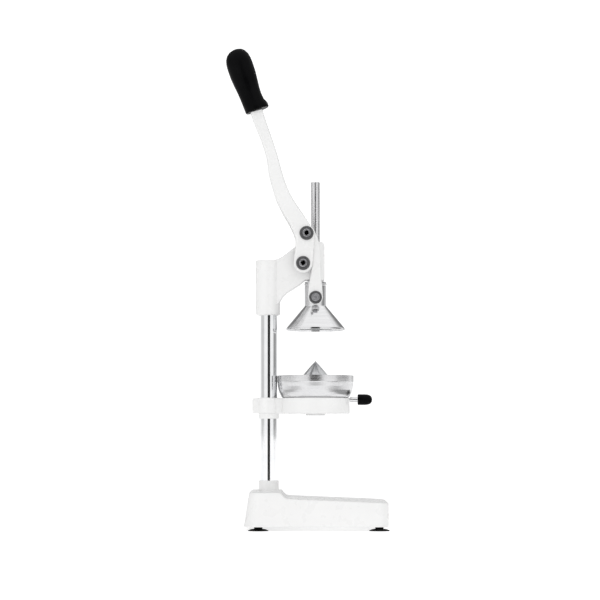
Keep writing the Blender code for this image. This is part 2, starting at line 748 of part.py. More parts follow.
def fork_outline():
    """Front outline of the gap between the cheeks, which narrows above the crank pins."""
    wall = CHEEK_OUTER_Y - CHEEK_INNER_Y
    right = [(CHEEK_INNER_Y, FORK_BOTTOM_Z), (CHEEK_INNER_Y, 452 * MM)]
    for z in (476 * MM, 495 * MM, 510 * MM):
        right.append((interpolate(LEVER_HALF_WIDTHS, z) - wall, z))
    right.append((9.5 * MM, FORK_TOP_Z - 4 * MM))
    right.append((5.0 * MM, FORK_TOP_Z))
    left = [(-y, z) for y, z in reversed(right)]
    return right + left


def make_lever(paints):
    lever = loft("lever_arm", lever_rings(), paints["white_enamel"])
    move_origin(lever, (FULCRUM[0], 0.0, FULCRUM[1]))
    cut(lever, prism("lever_fork_gap", fork_outline(), -150 * MM, 80 * MM, "X"))
    hole = PIVOT_BOLT_RADIUS + GAP
    reach = CHEEK_OUTER_Y + 10 * MM
    for name, centre in (("fulcrum", FULCRUM), ("crank", CRANK_PIN)):
        cut(lever, cylinder(f"lever_{name}_hole", hole, -reach, reach, None, centre, "Y", 24))
    x, z, _ = LEVER_LINE[0]
    tang = [(0, -TANG_ROOT), (TANG_RADIUS, -TANG_ROOT), (TANG_RADIUS, TANG_LENGTH), (0, TANG_LENGTH)]
    join(lever, revolve("lever_tang", tang, place=(x, 0.0, z), direction=GRIP_DIRECTION, segments=20))


def grip_ring(along, front, rear, segments=24):
    """Oval section of the grip, square to the grip axis, with its own depth to each side."""
    side = GRIP_FLATNESS * 0.5 * (front + rear)
    ring = []
    for step in range(segments):
        angle = 2 * math.pi * step / segments
        depth = (front if math.cos(angle) > 0 else rear) * math.cos(angle)
        ring.append((depth, side * math.sin(angle), along))
    return ring


def make_grip(paints):
    """Oval sections stacked along the leaning axis, bored for the tang of the lever."""
    grip = loft("grip", [grip_ring(*section) for section in GRIP_SECTIONS], paints["black_plastic"])
    grip.location = (GRIP_FOOT[0], 0.0, GRIP_FOOT[1])
    grip.rotation_euler = (0.0, -GRIP_LEAN, 0.0)
    x, z, _ = LEVER_LINE[0]
    bore = TANG_RADIUS + GAP
    depth = TANG_LENGTH + 2 * MM
    profile = [(0, -TANG_ROOT), (bore, -TANG_ROOT), (bore, depth), (0, depth)]
    cut(grip, revolve("grip_bore", profile, place=(x, 0.0, z), direction=GRIP_DIRECTION, segments=20))


def make_bolt(name, side, centre, seat_y, end_y, paints):
    """Socket-head bolt across the machine: side is -1 for the right and 1 for the left."""
    head_y = seat_y + PIVOT_HEAD_HEIGHT
    edge = 0.6 * MM
    profile = [
        (0, end_y),
        (PIVOT_BOLT_RADIUS, end_y),
        (PIVOT_BOLT_RADIUS, seat_y),
        (PIVOT_HEAD_RADIUS, seat_y),
        (PIVOT_HEAD_RADIUS, head_y - edge),
        (PIVOT_HEAD_RADIUS - edge, head_y),
        (0, head_y),
    ]
    place = (centre[0], 0.0, centre[1])
    bolt = revolve(name, profile, paints["zinc_steel"], place, (0.0, float(side), 0.0), 24)
    low, high = sorted((side * (head_y - PIVOT_SOCKET_DEPTH), side * (head_y + OVERLAP)))
    cut(bolt, cylinder(f"{name}_socket", PIVOT_SOCKET_RADIUS, low, high, None, centre, "Y", 6))


def make_washer(name, side, centre, inner_y, radius, paint):
    bore = PIVOT_BOLT_RADIUS + GAP
    outer_y = inner_y + PIVOT_WASHER_THICKNESS
    edge = 0.4 * MM
    profile = [
        (bore, inner_y),
        (radius, inner_y),
        (radius, outer_y - edge),
        (radius - edge, outer_y),
        (bore, outer_y),
    ]
    place = (centre[0], 0.0, centre[1])
    revolve(name, profile, paint, place, (0.0, float(side), 0.0), 24)


def make_fulcrum(paints):
    """One long bolt through both cheeks and the head, with a spacer sleeve in each gap."""
    bore = PIVOT_BOLT_RADIUS + GAP
    place = (FULCRUM[0], 0.0, FULCRUM[1])
    washer_y = CHEEK_OUTER_Y + GAP
    seat_y = washer_y + PIVOT_WASHER_THICKNESS + SEAT_GAP
    spacer = ring_profile(bore, SPACER_RADIUS, HEAD_ARM_HALF_WIDTH + GAP, CHEEK_INNER_Y - GAP)
    for side_name, side in SIDES:
        washer = f"fulcrum_washer_{side_name}"
        make_washer(washer, side, FULCRUM, washer_y, PIVOT_WASHER_RADIUS, paints["dark_steel"])
        across = (0.0, float(side), 0.0)
        revolve(f"fulcrum_spacer_{side_name}", spacer, paints["zinc_steel"], place, across, 24)
    nut_top = seat_y + NUT_HEIGHT
    make_bolt("fulcrum_bolt", -1, FULCRUM, seat_y, -(nut_top + 1 * MM), paints)
    nut = cylinder("fulcrum_nut", NUT_RADIUS, seat_y, nut_top, paints["zinc_steel"], FULCRUM, "Y", 6)
    cut(nut, cylinder("fulcrum_nut_bore", bore, 0.0, nut_top + OVERLAP, None, FULCRUM, "Y", 24))


def make_crank_bolts(paints):
    """Crank bolts that ride in the cheeks and stop short of the links."""
    washer_y = CHEEK_OUTER_Y + GAP
    seat_y = washer_y + PIVOT_WASHER_THICKNESS + SEAT_GAP
    for side_name, side in SIDES:
        make_bolt(f"crank_bolt_{side_name}", side, CRANK_PIN, seat_y, CHEEK_INNER_Y + 0.2 * MM, paints)
        washer = f"crank_washer_{side_name}"
        make_washer(washer, side, CRANK_PIN, washer_y, PIVOT_WASHER_RADIUS, paints["dark_steel"])


def make_links(paints):
    """Curved links that reach forward round the fulcrum, with a bush and a bolt each."""
    outline = ribbon(smooth_line(LINK_LINE, 2))
    press_pin = (PRESS_X, PRESS_PIN_Z)
    bush = ring_profile(BUSH_BORE, BUSH_RADIUS, LINK_INNER_Y + 0.2 * MM, LINK_OUTER_Y - 0.2 * MM)
    washer_y = LINK_OUTER_Y + GAP
    seat_y = washer_y + PIVOT_WASHER_THICKNESS + SEAT_GAP
    eyes = (("upper", CRANK_PIN, BUSH_RADIUS + GAP), ("lower", press_pin, PIVOT_BOLT_RADIUS + GAP))
    for side_name, side in SIDES:
        low, high = sorted((side * LINK_INNER_Y, side * LINK_OUTER_Y))
        link = prism(f"link_{side_name}", outline, low, high, "Y", paints["white_enamel"])
        move_origin(link, (PRESS_X, 0.0, PRESS_PIN_Z))
        bevel(link, 1.0 * MM, 1)
        for eye, centre, hole in eyes:
            name = f"link_{side_name}_{eye}_eye"
            cut(link, cylinder(name, hole, low - OVERLAP, high + OVERLAP, None, centre, "Y", 24))
        across = (0.0, float(side), 0.0)
        crank = (CRANK_PIN[0], 0.0, CRANK_PIN[1])
        revolve(f"link_bush_{side_name}", bush, paints["bronze"], crank, across, 24)
        washer = f"link_washer_{side_name}"
        make_washer(washer, side, press_pin, washer_y, LINK_WASHER_RADIUS, paints["dark_steel"])
        make_bolt(f"link_bolt_{side_name}", side, press_pin, seat_y, LINK_INNER_Y + 0.2 * MM, paints)


def bell_profile():
    """Outer skin from the lip up the neck, then the rod socket and the inside of the cone."""
    slope = (BELL_LIP_RADIUS - NECK_RADIUS) / (BELL_CONE_TOP_Z - BELL_BAND_TOP_Z)
    inner_lip = BELL_LIP_RADIUS - BELL_WALL
    ceiling_z = BELL_CONE_TOP_Z - 3.5 * MM
    band_z = BELL_BAND_TOP_Z - 0.6 * MM
    ceiling_radius = inner_lip - slope * (ceiling_z - band_z)
    socket = ROD_RADIUS + GAP
    bead = NECK_RADIUS + 0.4 * MM
    return [
        (BELL_LIP_RADIUS, BELL_LIP_Z + 0.6 * MM),
        (BELL_LIP_RADIUS, BELL_BAND_TOP_Z),
        (NECK_RADIUS, BELL_CONE_TOP_Z),
        (NECK_RADIUS, NECK_BEAD_Z),
        (bead, NECK_BEAD_Z + 0.4 * MM),
        (bead, NECK_BEAD_Z + 2.4 * MM),
        (NECK_RADIUS, NECK_BEAD_Z + 2.8 * MM),
        (NECK_RADIUS, NECK_TOP_Z - 1.0 * MM),
        (NECK_RADIUS - 1.0 * MM, NECK_TOP_Z),
        (socket, NECK_TOP_Z),
        (socket, ROD_BOTTOM_Z - GAP),
        (0, ROD_BOTTOM_Z - GAP),
        (0, ceiling_z),
        (ceiling_radius, ceiling_z),
        (inner_lip, band_z),
        (inner_lip, BELL_LIP_Z + 0.6 * MM),
        (BELL_LIP_RADIUS - 0.5 * BELL_WALL, BELL_LIP_Z),
    ]


def make_press(paints):
    place = (PRESS_X, 0.0, 0.0)
    bell = revolve("press_bell", bell_profile(), paints["polished_steel"], place, segments=44)
    rod_profile = [
        (0, ROD_BOTTOM_Z),
        (ROD_RADIUS, ROD_BOTTOM_Z),
        (ROD_RADIUS, ROD_TOP_Z - 0.8 * MM),
        (ROD_RADIUS - 0.8 * MM, ROD_TOP_Z),
        (0, ROD_TOP_Z),
    ]
    rod = revolve("press_rod", rod_profile, paints["satin_steel"], place, segments=28)
    centre = (PRESS_X, PRESS_PIN_Z)
    reach = NECK_RADIUS - 0.2 * MM
    for owner, name in ((bell, "bell_pin_hole"), (rod, "rod_pin_hole")):
        cut(owner, cylinder(name, PRESS_PIN_RADIUS + GAP, -2 * reach, 2 * reach, None, centre, "Y", 20))
    cylinder("press_pin", PRESS_PIN_RADIUS, -reach, reach, paints["zinc_steel"], centre, "Y", 20)


def make_bracket_ring(paint):
    """Shallow cup round the press axis, with a hole for the spout in its floor."""
    inner = RING_RADIUS - RING_WALL
    floor_z = RING_BOTTOM_Z + RING_FLOOR
    profile = [
        (SPOUT_HOLE_RADIUS, RING_BOTTOM_Z),
        (RING_RADIUS - 1.0 * MM, RING_BOTTOM_Z),
        (RING_RADIUS, RING_BOTTOM_Z + 1.0 * MM),
        (RING_RADIUS, RING_TOP_Z - 0.8 * MM),
        (RING_RADIUS - 0.8 * MM, RING_TOP_Z),
        (inner, RING_TOP_Z),
        (inner, floor_z),
        (SPOUT_HOLE_RADIUS, floor_z),
    ]
    return revolve("bowl_bracket", profile, paint, (PRESS_X, 0.0, 0.0), segments=48)


def make_bracket(paints):
    """Cup-shaped ring joined to a collar on the column, with a boss for the clamp screw."""
    bracket = make_bracket_ring(paints["white_enamel"])
    web_x = (COLUMN_X, PRESS_X - RING_RADIUS + 0.6 * RING_WALL)
    web_z = (RING_BOTTOM_Z + 0.2 * MM, RING_TOP_Z - 0.2 * MM)
    join(bracket, box("bracket_web", web_x, (-13 * MM, 13 * MM), web_z))
    collar_top_z = RING_TOP_Z + 0.2 * MM
    collar = [
        (0, BRACKET_LIP_BOTTOM_Z),
        (BRACKET_LIP_RADIUS, BRACKET_LIP_BOTTOM_Z),
        (BRACKET_LIP_RADIUS, RING_BOTTOM_Z + 0.6 * MM),
        (BRACKET_COLLAR_RADIUS, RING_BOTTOM_Z + 1.2 * MM),
        (BRACKET_COLLAR_RADIUS, collar_top_z - 0.6 * MM),
        (BRACKET_COLLAR_RADIUS - 0.6 * MM, collar_top_z),
        (0, collar_top_z),
    ]
    join(bracket, revolve("bracket_collar", collar, place=(COLUMN_X, 0.0, 0.0)))
    half = BRACKET_BOSS_HALF_WIDTH
    boss_z = (RING_BOTTOM_Z + 0.8 * MM, RING_TOP_Z - 0.6 * MM)
    boss = box("bracket_boss", (BRACKET_BOSS_REAR_X, COLUMN_X), (-half, half), boss_z)
    bevel(boss, 1.5 * MM)
    join(bracket, boss)
    low = BRACKET_LIP_BOTTOM_Z - 15 * MM
    high = RING_TOP_Z + 15 * MM
    cut(bracket, cylinder("bracket_bore", COLUMN_BORE, low, high, None, (COLUMN_X, 0.0)))
    screw_z = 0.5 * (RING_BOTTOM_Z + RING_TOP_Z)
    cut_screw_hole(bracket, BRACKET_BOSS_REAR_X, screw_z)
    make_set_screw("bracket_set_screw", BRACKET_BOSS_REAR_X + 1 * MM, screw_z, paints)
    cut_bracket_notch(bracket)
    hole = FUNNEL_PIN_RADIUS + GAP
    end = FUNNEL_PIN_END + GAP
    pivot = (PRESS_X, FUNNEL_PIVOT_Z)
    cut(bracket, cylinder("bracket_pin_hole", hole, -end, end, None, pivot, "Y", 16))


def cut_bracket_notch(bracket):
    """Slot in the ring wall that lets the tail of the handle dip as the funnel tilts."""
    drop = (RING_RADIUS + 2 * MM) * math.sin(FUNNEL_TILT) + STEM_TAIL_RADIUS + 0.8 * MM
    ring_front_x = PRESS_X + RING_RADIUS
    notch_x = (ring_front_x - 8 * MM, ring_front_x + 8 * MM)
    notch_z = (HANDLE_Z - drop, RING_TOP_Z + 5 * MM)
    cut(bracket, box("bracket_notch", notch_x, (-4.5 * MM, 4.5 * MM), notch_z))


def bowl_profile():
    """Steel wall that narrows from the rim band to a flat bottom with a central drain."""
    bottom_z = RING_TOP_Z + GAP
    outer = [
        (49.2 * MM, bottom_z),
        (51.2 * MM, 196.6 * MM),
        (52.7 * MM, 198.8 * MM),
        (53.9 * MM, 201.6 * MM),
        (55.1 * MM, 205.6 * MM),
        (56.0 * MM, 211.0 * MM),
        (56.5 * MM, 216.6 * MM),
        (BOWL_RIM_RADIUS, 217.6 * MM),
        (BOWL_RIM_RADIUS, BOWL_RIM_Z - 0.6 * MM),
        (BOWL_RIM_RADIUS - 0.5 * BOWL_WALL, BOWL_RIM_Z),
    ]
    inner = [(radius - BOWL_WALL, z) for radius, z in outer[1:-1]]
    floor_z = bottom_z + BOWL_WALL
    inner[0] = (outer[0][0] - 0.4 * MM, floor_z)
    return [(BOWL_DRAIN_RADIUS, bottom_z), *outer, *inner[::-1], (BOWL_DRAIN_RADIUS, floor_z)]


def make_bowl(paints):
    revolve("juice_bowl", bowl_profile(), paints["satin_steel"], (PRESS_X, 0.0, 0.0), segments=44)


def make_strainer_holes():
    """Two staggered circles of six-sided drain holes, as one cutter."""
    shape = bmesh.new()
    count = 16
    for circle, radius in enumerate((37.0 * MM, 44.5 * MM)):
        for step in range(count):
            angle = 2 * math.pi * (step + 0.5 * circle) / count
            size = 2.4 * MM
            made = bmesh.ops.create_cone(
                shape, cap_ends=True, segments=6, radius1=size, radius2=size, depth=30 * MM
            )
            place = Vector((radius * math.cos(angle), radius * math.sin(angle), 0.0))
            bmesh.ops.translate(shape, vec=place, verts=made["verts"])
    return stand(new_object("strainer_holes", shape), (PRESS_X, 0.0, STRAINER_Z))


def make_strainer(paints):
    wall = STRAINER_WALL
    profile = [
        (0, STRAINER_FLOOR_Z),
        (31.0 * MM, STRAINER_FLOOR_Z),
        (49.0 * MM, STRAINER_Z - wall),
        (STRAINER_RADIUS, STRAINER_Z - wall),
        (STRAINER_RADIUS, STRAINER_Z),
        (48.6 * MM, STRAINER_Z),
        (30.6 * MM, STRAINER_FLOOR_Z + wall),
        (0, STRAINER_FLOOR_Z + wall),
    ]
    strainer = revolve("strainer", profile, paints["satin_steel"], (PRESS_X, 0.0, 0.0))
    cut(strainer, make_strainer_holes())


def reamer_ring(along, height):
    """Section of the reamer at a share of its height, with ribs that fade towards the tip."""
    radius = REAMER_BASE_RADIUS * (1 - along**1.25) + 1.2 * MM
    ribbed = 0.0 if along <= 0.05 else 0.10 * (1 - 0.6 * along)
    segments = REAMER_RIBS * 4
    ring = []
    for step in range(segments):
        angle = 2 * math.pi * step / segments
        reach = radius * (1 + ribbed * (math.cos(REAMER_RIBS * angle) - 1))
        ring.append((reach * math.cos(angle), reach * math.sin(angle), height * along))
    return ring


def make_reamer(paints):
    bottom_z = STRAINER_FLOOR_Z + STRAINER_WALL + GAP
    height = REAMER_TIP_Z - bottom_z
    rings = [reamer_ring(along, height) for along in (0.0, 0.05, 0.06, 0.25, 0.45, 0.65, 0.82, 0.93, 1.0)]
    stand(loft("reamer", rings, paints["cast_aluminium"]), (PRESS_X, 0.0, bottom_z))


def make_funnel(paints):
    """Shallow drip funnel on two side pins, with its spout through the bracket floor."""
    wall = 1.3 * MM
    shelf_z = 177.6 * MM
    profile = [
        (SPOUT_RADIUS - wall, SPOUT_BOTTOM_Z),
        (SPOUT_RADIUS, SPOUT_BOTTOM_Z),
        (SPOUT_RADIUS, shelf_z),
        (FUNNEL_RADIUS, FUNNEL_RIM_Z - 3.2 * MM),
        (FUNNEL_RADIUS, FUNNEL_RIM_Z),
        (FUNNEL_RADIUS - wall, FUNNEL_RIM_Z),
        (FUNNEL_RADIUS - wall, FUNNEL_RIM_Z - 2.2 * MM),
        (SPOUT_RADIUS - wall, shelf_z + 1.2 * MM),
    ]
    funnel = revolve("drip_funnel", profile, paints["white_enamel"], (PRESS_X, 0.0, 0.0))
    pivot = (PRESS_X, FUNNEL_PIVOT_Z)
    lug_x = (PRESS_X - 4.5 * MM, PRESS_X + 4.5 * MM)
    lug_z = (FUNNEL_PIVOT_Z - 4 * MM, FUNNEL_RIM_Z - 0.3 * MM)
    for side_name, side in SIDES:
        low, high = sorted((side * (FUNNEL_RADIUS - 0.7 * MM), side * (FUNNEL_RADIUS + 4 * MM)))
        join(funnel, box(f"funnel_lug_{side_name}", lug_x, (low, high), lug_z))
    tab_x = (PRESS_X + FUNNEL_RADIUS - 0.8 * MM, FUNNEL_TAB_FRONT_X)
    tab_z = (FUNNEL_RIM_Z - 3 * MM, HANDLE_Z + STEM_TAIL_RADIUS - 0.2 * MM)
    join(funnel, box("funnel_tab", tab_x, (-4 * MM, 4 * MM), tab_z))
    pin_start = FUNNEL_RADIUS + 1.3 * MM
    hole = FUNNEL_PIN_RADIUS + GAP
    for side_name, side in SIDES:
        low, high = sorted((side * (pin_start - GAP), side * (RING_RADIUS + 9 * MM)))
        cut(funnel, cylinder(f"funnel_pin_hole_{side_name}", hole, low, high, None, pivot, "Y", 16))
        low, high = sorted((side * pin_start, side * FUNNEL_PIN_END))
        name = f"funnel_pin_{side_name}"
        cylinder(name, FUNNEL_PIN_RADIUS, low, high, paints["zinc_steel"], pivot, "Y", 16)


def make_handle(paints):
    """Stem with a thin tail through the bracket notch, and a bullet-shaped knob."""
    tail_x = FUNNEL_TAB_FRONT_X + SEAT_GAP
    shoulder_x = PRESS_X + RING_RADIUS + 0.7 * MM
    tail_length = shoulder_x - tail_x
    stem_end = KNOB_REAR_X - GAP - tail_x
    tip = stem_end + KNOB_SOCKET_DEPTH
    stem = [
        (0, 0.0),
        (STEM_TAIL_RADIUS, 0.0),
        (STEM_TAIL_RADIUS, tail_length),
        (STEM_RADIUS, tail_length),
        (STEM_RADIUS, stem_end),
        (STEM_TAIL_RADIUS, stem_end),
        (STEM_TAIL_RADIUS, tip),
        (0, tip),
    ]
    forward = (1.0, 0.0, 0.0)
    revolve("handle_stem", stem, paints["polished_steel"], (tail_x, 0.0, HANDLE_Z), forward, 20)
    bore = STEM_TAIL_RADIUS + GAP
    length = KNOB_FRONT_X - KNOB_REAR_X
    knob = [(bore, 0.0), (KNOB_RADIUS - 0.8 * MM, 0.0), (KNOB_RADIUS, 0.8 * MM)]
    for along, radius in ((0.5, 1.0), (0.68, 0.96), (0.82, 0.84), (0.92, 0.64), (0.98, 0.36), (1.0, 0.0)):
        knob.append((KNOB_RADIUS * radius, length * along))
    knob.append((0, KNOB_SOCKET_DEPTH + GAP))
    knob.append((bore, KNOB_SOCKET_DEPTH + GAP))
    revolve("handle_knob", knob, paints["black_plastic"], (KNOB_REAR_X, 0.0, HANDLE_Z), forward, 20)


def make_pivot(name, place, pieces):
    """Empty on a joint's axis that carries the pieces which move with it."""
    pivot = bpy.data.objects.new(name, None)
    pivot.empty_display_size = 20 * MM
    pivot.location = place
    bpy.context.scene.collection.objects.link(pivot)
    for piece in pieces:
        carry(pivot, bpy.data.objects[piece])
    return pivot


def on_both_sides(*names):
    return [f"{name}_{side_name}" for name in names for side_name, _ in SIDES]


def hang_moving_pieces():
    """One empty for each joint. The links hang on the press, and the rest on the stand."""
    lever_pieces = ["lever_arm", "grip", *on_both_sides("crank_bolt", "crank_washer")]
    make_pivot("lever_pivot", (FULCRUM[0], 0.0, FULCRUM[1]), lever_pieces)
    press_pin = (PRESS_X, 0.0, PRESS_PIN_Z)
    press = make_pivot("press_slide", press_pin, ["press_bell", "press_rod", "press_pin"])
    link_pieces = on_both_sides("link", "link_bush", "link_washer", "link_bolt")
    carry(press, make_pivot("link_pivot", press_pin, link_pieces))
    funnel_pieces = ["drip_funnel", "handle_stem", "handle_knob"]
    make_pivot("funnel_tilt", (PRESS_X, 0.0, FUNNEL_PIVOT_Z), funnel_pieces)


def main():
    clear_scene()
    paints = make_materials()
    make_base(paints)
    make_feet(paints)
    make_column(paints)
    make_head(paints)
    make_bushes(paints)
    make_lever(paints)
    make_grip(paints)
    make_fulcrum(paints)
    make_crank_bolts(paints)
    make_links(paints)
    make_press(paints)
    make_bracket(paints)
    make_bowl(paints)
    make_strainer(paints)
    make_reamer(paints)
    make_funnel(paints)
    make_handle(paints)
    hang_moving_pieces()


main()
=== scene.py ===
"""Looks of the manual citrus press: finer pieces, materials, studio light and camera.

Metres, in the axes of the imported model: +X to the user, +Y to the left, +Z up.
"""

import math

import bmesh
import bpy
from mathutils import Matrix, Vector


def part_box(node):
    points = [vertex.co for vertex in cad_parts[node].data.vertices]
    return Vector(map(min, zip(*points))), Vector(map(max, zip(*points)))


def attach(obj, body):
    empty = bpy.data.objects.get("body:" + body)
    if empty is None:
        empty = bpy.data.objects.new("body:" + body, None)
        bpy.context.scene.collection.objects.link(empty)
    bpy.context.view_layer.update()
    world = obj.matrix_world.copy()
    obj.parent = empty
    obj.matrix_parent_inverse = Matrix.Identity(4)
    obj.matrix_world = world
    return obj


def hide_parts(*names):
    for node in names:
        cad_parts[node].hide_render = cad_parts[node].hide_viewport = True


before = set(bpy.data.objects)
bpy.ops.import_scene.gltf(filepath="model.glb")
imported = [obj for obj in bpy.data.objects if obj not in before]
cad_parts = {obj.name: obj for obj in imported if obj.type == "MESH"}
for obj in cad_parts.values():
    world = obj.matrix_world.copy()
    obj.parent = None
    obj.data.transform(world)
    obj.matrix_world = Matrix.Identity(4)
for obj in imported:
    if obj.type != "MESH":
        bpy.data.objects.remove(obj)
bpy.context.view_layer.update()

MM = 0.001
SHARP_ANGLE = math.radians(35)
TURNED_SEGMENTS = 120
GAP = 0.3 * MM

# Sizes that the boxes of the CAD nodes don't give. Those of round things are radii.
COLUMN_WALL = 2.0 * MM
COLUMN_EDGE = 0.4 * MM
ROD_EDGE = 0.9 * MM
BELL_WALL = 1.6 * MM
BELL_BAND = 3.3 * MM
BELL_CONE = 32.8 * MM
BELL_NECK = 16.2 * MM
BELL_ROOF = 3.5 * MM
BELL_INNER_DROP = 0.6 * MM
BELL_EDGE = 0.6 * MM
BEAD_DROP = 5.4 * MM
BEAD_HEIGHT = 2.6 * MM
BEAD_PROUD = 0.4 * MM
BEAD_EDGE = 0.3 * MM
BOWL_WALL = 1.3 * MM
BOWL_DRAIN = 9.0 * MM
BOWL_FOOT_INSET = 7.6 * MM
BOWL_CORNER_INSET = 0.4 * MM
BOWL_EDGE = 0.5 * MM
# Outside of the bowl's wall as (inset from the rim, depth below the rim), in millimetres.
BOWL_PROFILE = (
    (5.6, 30.6),
    (4.1, 28.4),
    (2.9, 25.6),
    (1.7, 21.6),
    (0.8, 16.2),
    (0.3, 10.6),
    (0.0, 9.6),
    (0.0, 0.0),
)
REAMER_RIBS = 10
REAMER_SEGMENTS = 16 * REAMER_RIBS
REAMER_STEPS = 20
REAMER_FLANGE = 2.0 * MM
REAMER_TIP = 1.2 * MM
REAMER_TIP_ANGLES = (0.35, 0.7, 1.1, 1.4)
# Foot of the reamer's cone and depth of its hollows there, as shares of the radius.
REAMER_FOOT = 0.97
REAMER_HOLLOW = 0.20
# Share of the hollows' depth that is gone at the tip, and how the hollows and the cone curve.
REAMER_FADE = 0.6
REAMER_HOLLOW_POWER = 1.3
REAMER_CONE_POWER = 1.25
BOLT_SEGMENTS = 48
BOLT_EDGE = 0.6 * MM
BOLT_HEAD = 6.0 * MM
BOLT_HEAD_HEIGHT = 4.0 * MM
BOLT_SHANK = 5.0 * MM
BOLT_SOCKET = 2.8 * MM
BOLT_SOCKET_MOUTH = 3.5 * MM
BOLT_SOCKET_DEPTH = 1.6 * MM
BOLT_SOCKET_EDGE = 0.3 * MM
# Bolts as (CAD node, body, side of the head along Y).
BOLTS = (
    ("fulcrum_bolt", "stand", -1),
    ("crank_bolt_right", "lever", -1),
    ("crank_bolt_left", "lever", 1),
    ("link_bolt_right", "links", -1),
    ("link_bolt_left", "links", 1),
)

# Camera: far off on the right-hand side, a little lower than the bowl bracket, looking slightly up.
CAMERA_PLACE = Vector((-0.0091, -2.877, 0.147))
CAMERA_TARGET = Vector((-0.0091, 0.0, 0.3135))
CAMERA_SHIFT = 0.03
FIELD_WIDTH = 0.8975
SENSOR_WIDTH = 36.0

# Studio: a white room, a softly glowing white table, a dark card standing in front of the
# machine, two grey cards lying on the table beside it, and a weak soft light overhead.
ROOM_LIGHT = 1.0
BACKDROP_LIGHT = 1.2
OVERHEAD_LIGHT = 0.15
OVERHEAD_SPREAD = math.radians(80)
FLOOR_SIZE = 60.0
FLOOR_GREY = 0.70
FLOOR_GLOW = 0.52
FRONT_CARD_GREY = 0.035
FRONT_CARD_SIZE = (1.0, 1.0)
FRONT_CARD_Y = -1.6
TABLE_CARD_SIZE = (0.6, 0.9)
TABLE_CARD_Y = -0.05
# Table cards as (name, grey, place along X).
TABLE_CARDS = (("right_card", 0.42, 0.62), ("left_card", 0.62, -0.70))
# Dim patches of the room as (direction, brightness, angle where it is dimmest, angle where it ends).
DIM_PATCHES = (
    (Vector((-0.46, 0.70, 0.53)), 0.25, math.radians(18), math.radians(38)),
    (Vector((0.36, 0.85, 0.38)), 0.25, math.radians(10), math.radians(30)),
    (Vector((-1.0, 0.05, 0.0)), 0.62, math.radians(12), math.radians(34)),
    (Vector((1.0, 0.05, 0.0)), 0.33, math.radians(14), math.radians(36)),
)


class Graph:
    """Adds and links shader nodes in one node tree."""

    def __init__(self, tree):
        self.tree = tree

    def node(self, kind, inputs=None, **settings):
        """Adds a node. Inputs are set by name or index, or linked where the value is a socket."""
        made = self.tree.nodes.new(kind)
        for name, value in settings.items():
            setattr(made, name, value)
        for name, value in (inputs or {}).items():
            self.feed(made.inputs[name], value)
        return made

    def feed(self, socket, value):
        """Links the socket to the value if that is a socket too, or else sets it."""
        if isinstance(value, bpy.types.NodeSocket):
            self.tree.links.new(value, socket)
        else:
            socket.default_value = value

    def combine(self, operation, first, second=0.0):
        """Result of a Math node. Operations on one value leave out the second."""
        return self.node("ShaderNodeMath", {0: first, 1: second}, operation=operation).outputs[0]

    def dot(self, first, second):
        made = self.node("ShaderNodeVectorMath", {0: first, 1: second}, operation="DOT_PRODUCT")
        return made.outputs["Value"]

    def remap(self, value, low, high, start=0.35, end=0.65):
        """Turns a value between start and end into one between low and high."""
        inputs = {"Value": value, "From Min": start, "From Max": end, "To Min": low, "To Max": high}
        return self.node("ShaderNodeMapRange", inputs).outputs["Result"]


class Finish(Graph):
    """One Principled material, with patterns laid out in metres on the piece."""

    def __init__(self, name, colour, roughness, metallic=0.0):
        self.material = bpy.data.materials.new(name)
        self.material.use_nodes = True
        self.material.diffuse_color = (*colour, 1.0)
        super().__init__(self.material.node_tree)
        self.shader = self.tree.nodes["Principled BSDF"]
        self.set("Base Color", (*colour, 1.0))
        self.set("Roughness", roughness)
        self.set("Metallic", metallic)
        self.place = self.node("ShaderNodeTexCoord").outputs["Object"]

    def set(self, name, value):
        self.feed(self.shader.inputs[name], value)

    def noise(self, size, detail=2.0, stretch=(1.0, 1.0, 1.0), place=None):
        """Cloudy pattern whose blobs are about the given size, longer along a stretched axis."""
        scale = [1.0 / (size * along) for along in stretch]
        moved = self.node("ShaderNodeVectorMath", {0: place or self.place, 1: scale}, operation="MULTIPLY")
        inputs = {"Vector": moved.outputs[0], "Scale": 1.0, "Detail": detail}
        return self.node("ShaderNodeTexNoise", inputs).outputs["Fac"]

    def blend(self, factor, first, second):
        """Colour between the first (factor 0) and the second (factor 1)."""
        made = self.node("ShaderNodeMix", {"Factor": factor}, data_type="RGBA")
        colour_inputs = [socket for socket in made.inputs if socket.type == "RGBA"]
        for socket, colour in zip(colour_inputs, (first, second)):
            self.feed(socket, colour if isinstance(colour, bpy.types.NodeSocket) else (*colour, 1.0))
        return next(socket for socket in made.outputs if socket.type == "RGBA")

    def edge_wear(self, radius):
        """1 along outside edges and 0 on open faces, with the rounded normal of those edges."""
        rounded = self.node("ShaderNodeBevel", {"Radius": radius}, samples=4).outputs["Normal"]
        facing = self.dot(rounded, self.node("ShaderNodeNewGeometry").outputs["Normal"])
        return self.remap(facing, 1.0, 0.0, 0.86, 0.99), rounded

    def bump(self, height, depth, normal=None):
        """Normal for a surface that is raised by the height, which runs from 0 to 1, times the depth."""
        made = self.node("ShaderNodeBump", {"Height": height, "Distance": depth, "Strength": 1.0})
        if normal is not None:
            self.feed(made.inputs["Normal"], normal)
        return made.outputs["Normal"]

    def turned_place(self, centre_x):
        """Coordinates (distance from a vertical axis, a little of the turn, height)."""
        parts = self.node("ShaderNodeSeparateXYZ", {"Vector": self.place})
        across = self.combine("SUBTRACT", parts.outputs["X"], centre_x)
        depth = parts.outputs["Y"]
        across_squared = self.combine("POWER", across, 2.0)
        depth_squared = self.combine("POWER", depth, 2.0)
        squares = self.combine("ADD", across_squared, depth_squared)
        turn = self.combine("MULTIPLY", self.combine("ARCTAN2", depth, across), 0.01)
        reach = self.combine("SQRT", squares)
        joined = self.node("ShaderNodeCombineXYZ", {"X": reach, "Y": turn, "Z": parts.outputs["Z"]})
        return joined.outputs["Vector"]


